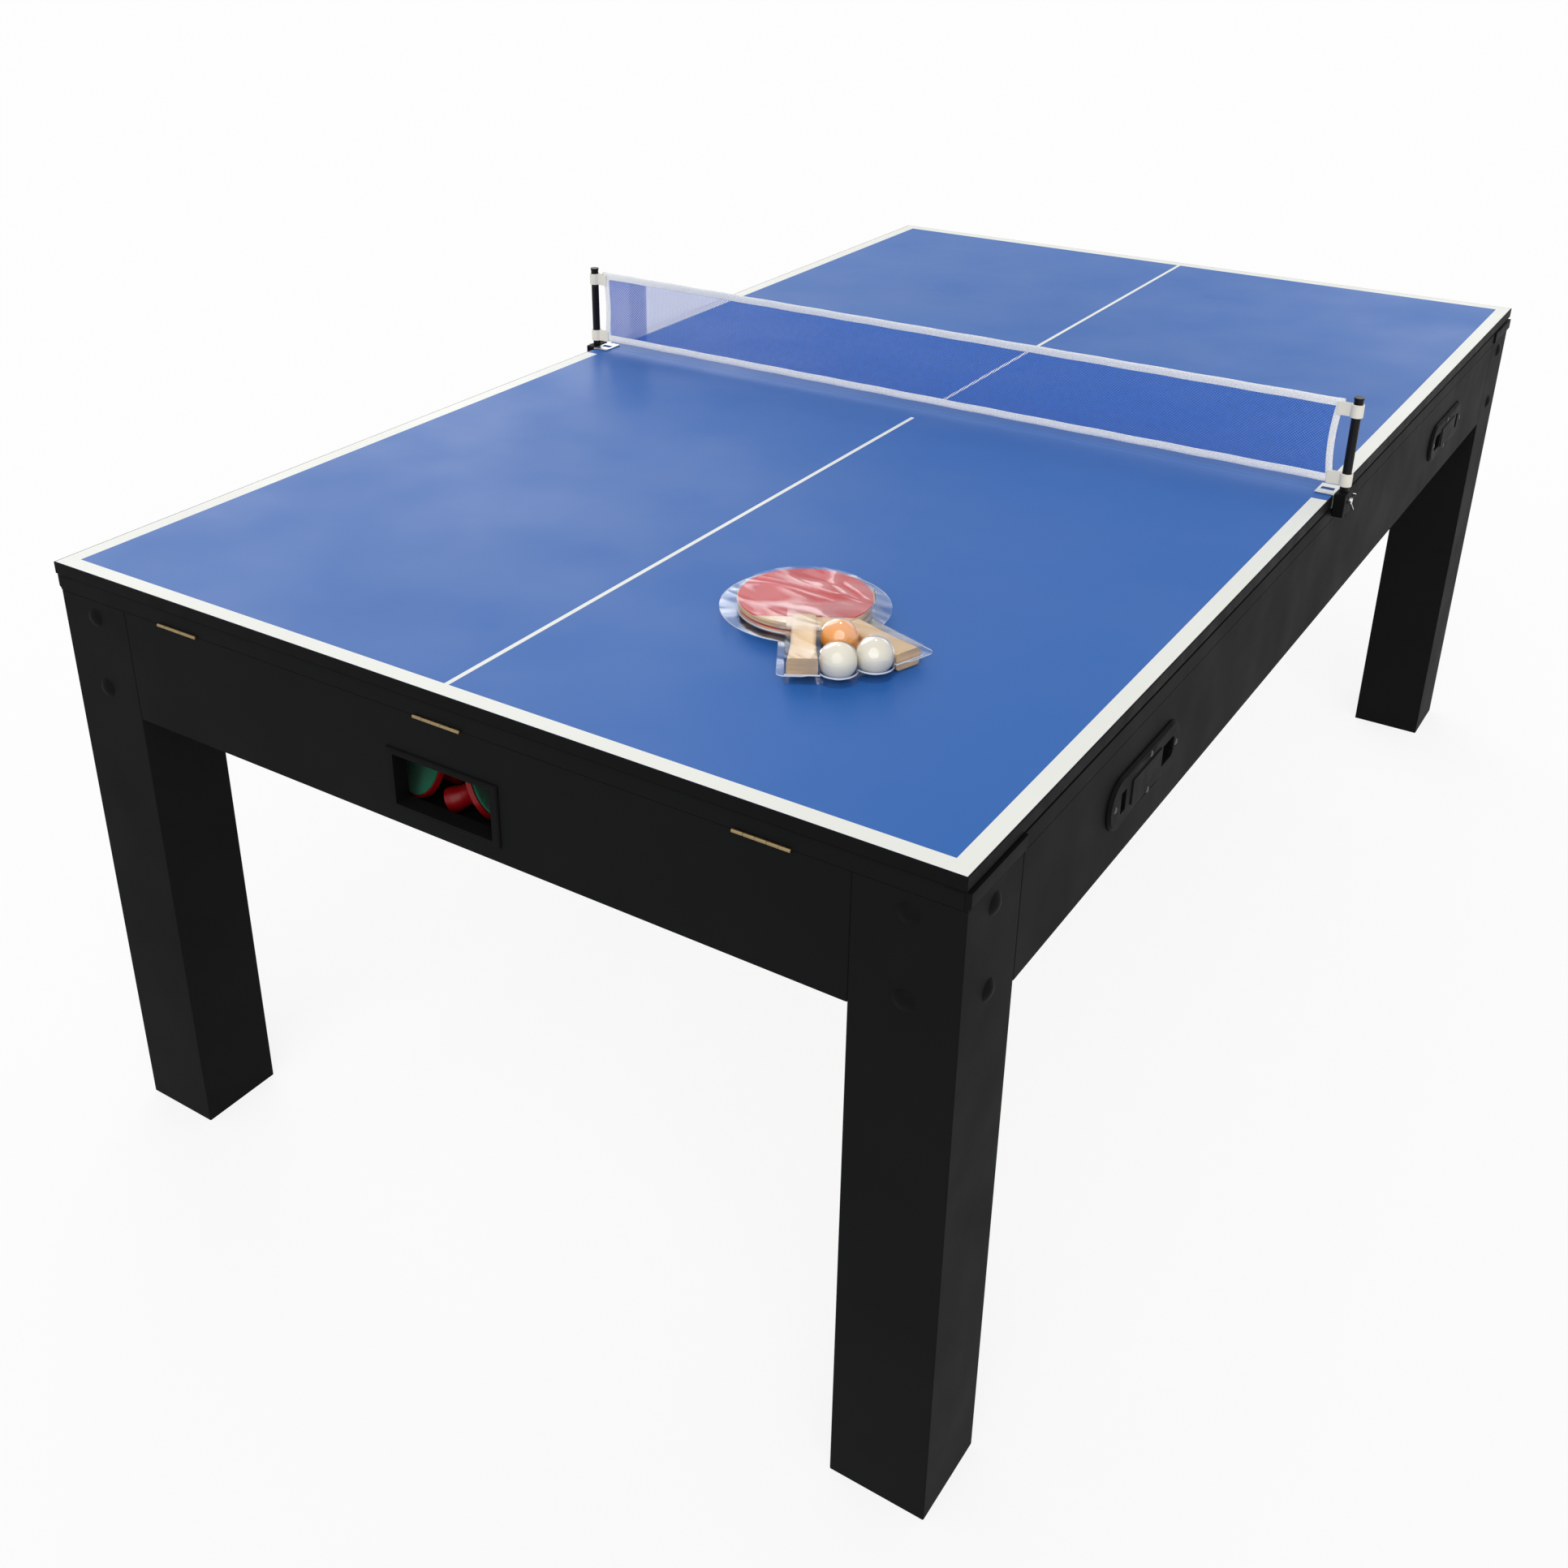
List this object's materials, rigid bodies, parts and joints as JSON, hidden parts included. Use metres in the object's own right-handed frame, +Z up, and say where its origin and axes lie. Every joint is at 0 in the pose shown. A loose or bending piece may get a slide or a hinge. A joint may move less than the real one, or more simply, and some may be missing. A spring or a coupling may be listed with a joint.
{
  "type": "multi game table",
  "caption": "Dark four-legged game table with a lift-off blue table tennis top and net over a hinged pocket deck and a slide hockey rink, with a racket pack on top.",
  "frame": {"origin": "on the floor under the middle of the table", "axes": "+Z up, +Y along the table away from the end with the return window, +X across it to the side with the slotted plates"},
  "size_m": [1.269, 2.171, 0.946],
  "materials": {
    "black_laminate": "semi-gloss black laminate",
    "raw_board": "raw brown fibreboard",
    "white_laminate": "smooth white laminate",
    "rink_board": "satin black laminate",
    "black_plastic": "moulded, lightly grained",
    "zinc_steel": "zinc plated",
    "black_screws": "black oxide",
    "brass": "polished brass",
    "cloth": "woven wool blend",
    "blue_top": "satin blue paint with white lines",
    "rubber_pads": "black rubber",
    "net_cord": "navy knotted cord",
    "net_tape": "woven white tape",
    "cream_plastic": "moulded cream plastic",
    "black_posts": "black powder coat",
    "lock_pads": "turned brass",
    "chrome": "bright chrome",
    "clear_film": "clear thermoformed film",
    "racket_wood": "light ply",
    "racket_rubber": "dimpled red rubber",
    "orange_ball": "orange celluloid",
    "white_balls": "white celluloid",
    "red_plastic": "moulded red plastic",
    "green_felt": "green felt"
  },
  "bodies": {
    "cabinet": {"leg_near_left": "black_laminate", "leg_near_right": "black_laminate", "leg_far_left": "black_laminate", "leg_far_right": "black_laminate", "apron_near": "black_laminate", "apron_far": "black_laminate", "apron_left": "black_laminate", "apron_right": "black_laminate", "corner_cleats": "raw_board", "leg_bolts": "zinc_steel", "bolt_covers": "black_plastic", "cross_rails": "raw_board", "rink_bed": "white_laminate", "rink_walls": "rink_board", "goal_tray_near": "black_plastic", "goal_tray_far": "black_plastic", "return_bezel": "black_plastic", "side_plate_near": "black_plastic", "side_plate_far": "black_plastic", "plate_screws": "black_screws", "hinge_leaves_lower": "brass", "hinge_pins": "brass"},
    "play_deck": {"rail_near": "black_laminate", "rail_far": "black_laminate", "rail_left": "black_laminate", "rail_right": "black_laminate", "pool_bed": "raw_board", "bed_cloth": "cloth", "end_cushions": "cloth", "side_cushions": "cloth", "corner_pockets": "black_plastic", "side_pockets": "black_plastic", "deck_joists": "raw_board", "hinge_leaves_upper": "brass", "corner_caps": "black_plastic"},
    "tennis_top": {"tennis_top_near": "blue_top", "tennis_top_far": "blue_top", "edge_band_near": "black_plastic", "edge_band_far": "black_plastic", "top_pads": "rubber_pads", "joint_dowels": "raw_board", "clamp_plates": "zinc_steel", "clamp_bodies": "black_plastic"},
    "net": {"net_mesh": "net_cord", "net_tapes": "net_tape", "net_sleeves": "cream_plastic", "net_posts": "black_posts"},
    "lock_pad_left": {"lock_pad_left": "lock_pads"},
    "wing_screw_left": {"wing_screw_left": "chrome"},
    "lock_pad_right": {"lock_pad_right": "lock_pads"},
    "wing_screw_right": {"wing_screw_right": "chrome"},
    "racket_pack": {"blister_shell": "clear_film", "racket_woods": "racket_wood", "racket_rubbers": "racket_rubber", "ball_orange": "orange_ball", "balls_white": "white_balls"},
    "pusher_left": {"pusher_left": "red_plastic", "pusher_felt_left": "green_felt"},
    "pusher_right": {"pusher_right": "red_plastic", "pusher_felt_right": "green_felt"}
  },
  "joints": [
    {"name": "play_deck_hinge", "type": "hinge", "parent": "cabinet", "child": "play_deck", "pos_m": [0, -1.0825, 0.77675], "axis": [1, 0, 0], "range_deg": [0, 75]},
    {"name": "tennis_top_lift", "type": "slide", "parent": "play_deck", "child": "tennis_top", "axis": [0, 0, 1], "range_m": [0, 0.3]},
    {"name": "net_lift", "type": "slide", "parent": "tennis_top", "child": "net", "axis": [0, 0, 1], "range_m": [0, 0.1]},
    {"name": "racket_pack_lift", "type": "slide", "parent": "tennis_top", "child": "racket_pack", "axis": [0, 0, 1], "range_m": [0, 0.2]},
    {"name": "pusher_left_slide", "type": "slide", "parent": "cabinet", "child": "pusher_left", "axis": [-1, 0, 0], "range_m": [0, 0.02]},
    {"name": "pusher_right_slide", "type": "slide", "parent": "cabinet", "child": "pusher_right", "axis": [1, 0, 0], "range_m": [0, 0.05]},
    {"name": "lock_pad_left_slide", "type": "slide", "parent": "tennis_top", "child": "lock_pad_left", "axis": [-1, 0, 0], "range_m": [0, 0.003]},
    {"name": "wing_screw_left_turn", "type": "hinge", "parent": "lock_pad_left", "child": "wing_screw_left", "pos_m": [-0.632, 0, 0.806], "axis": [-1, 0, 0], "range_deg": [0, 1080]},
    {"name": "lock_pad_right_slide", "type": "slide", "parent": "tennis_top", "child": "lock_pad_right", "axis": [1, 0, 0], "range_m": [0, 0.003]},
    {"name": "wing_screw_right_turn", "type": "hinge", "parent": "lock_pad_right", "child": "wing_screw_right", "pos_m": [0.632, 0, 0.806], "axis": [1, 0, 0], "range_deg": [0, 1080]}
  ],
  "couplings": [
    {"joint": "lock_pad_left_slide", "follows": "wing_screw_left_turn", "m_per_rad": 0.00015915},
    {"joint": "lock_pad_right_slide", "follows": "wing_screw_right_turn", "m_per_rad": 0.00015915}
  ]
}
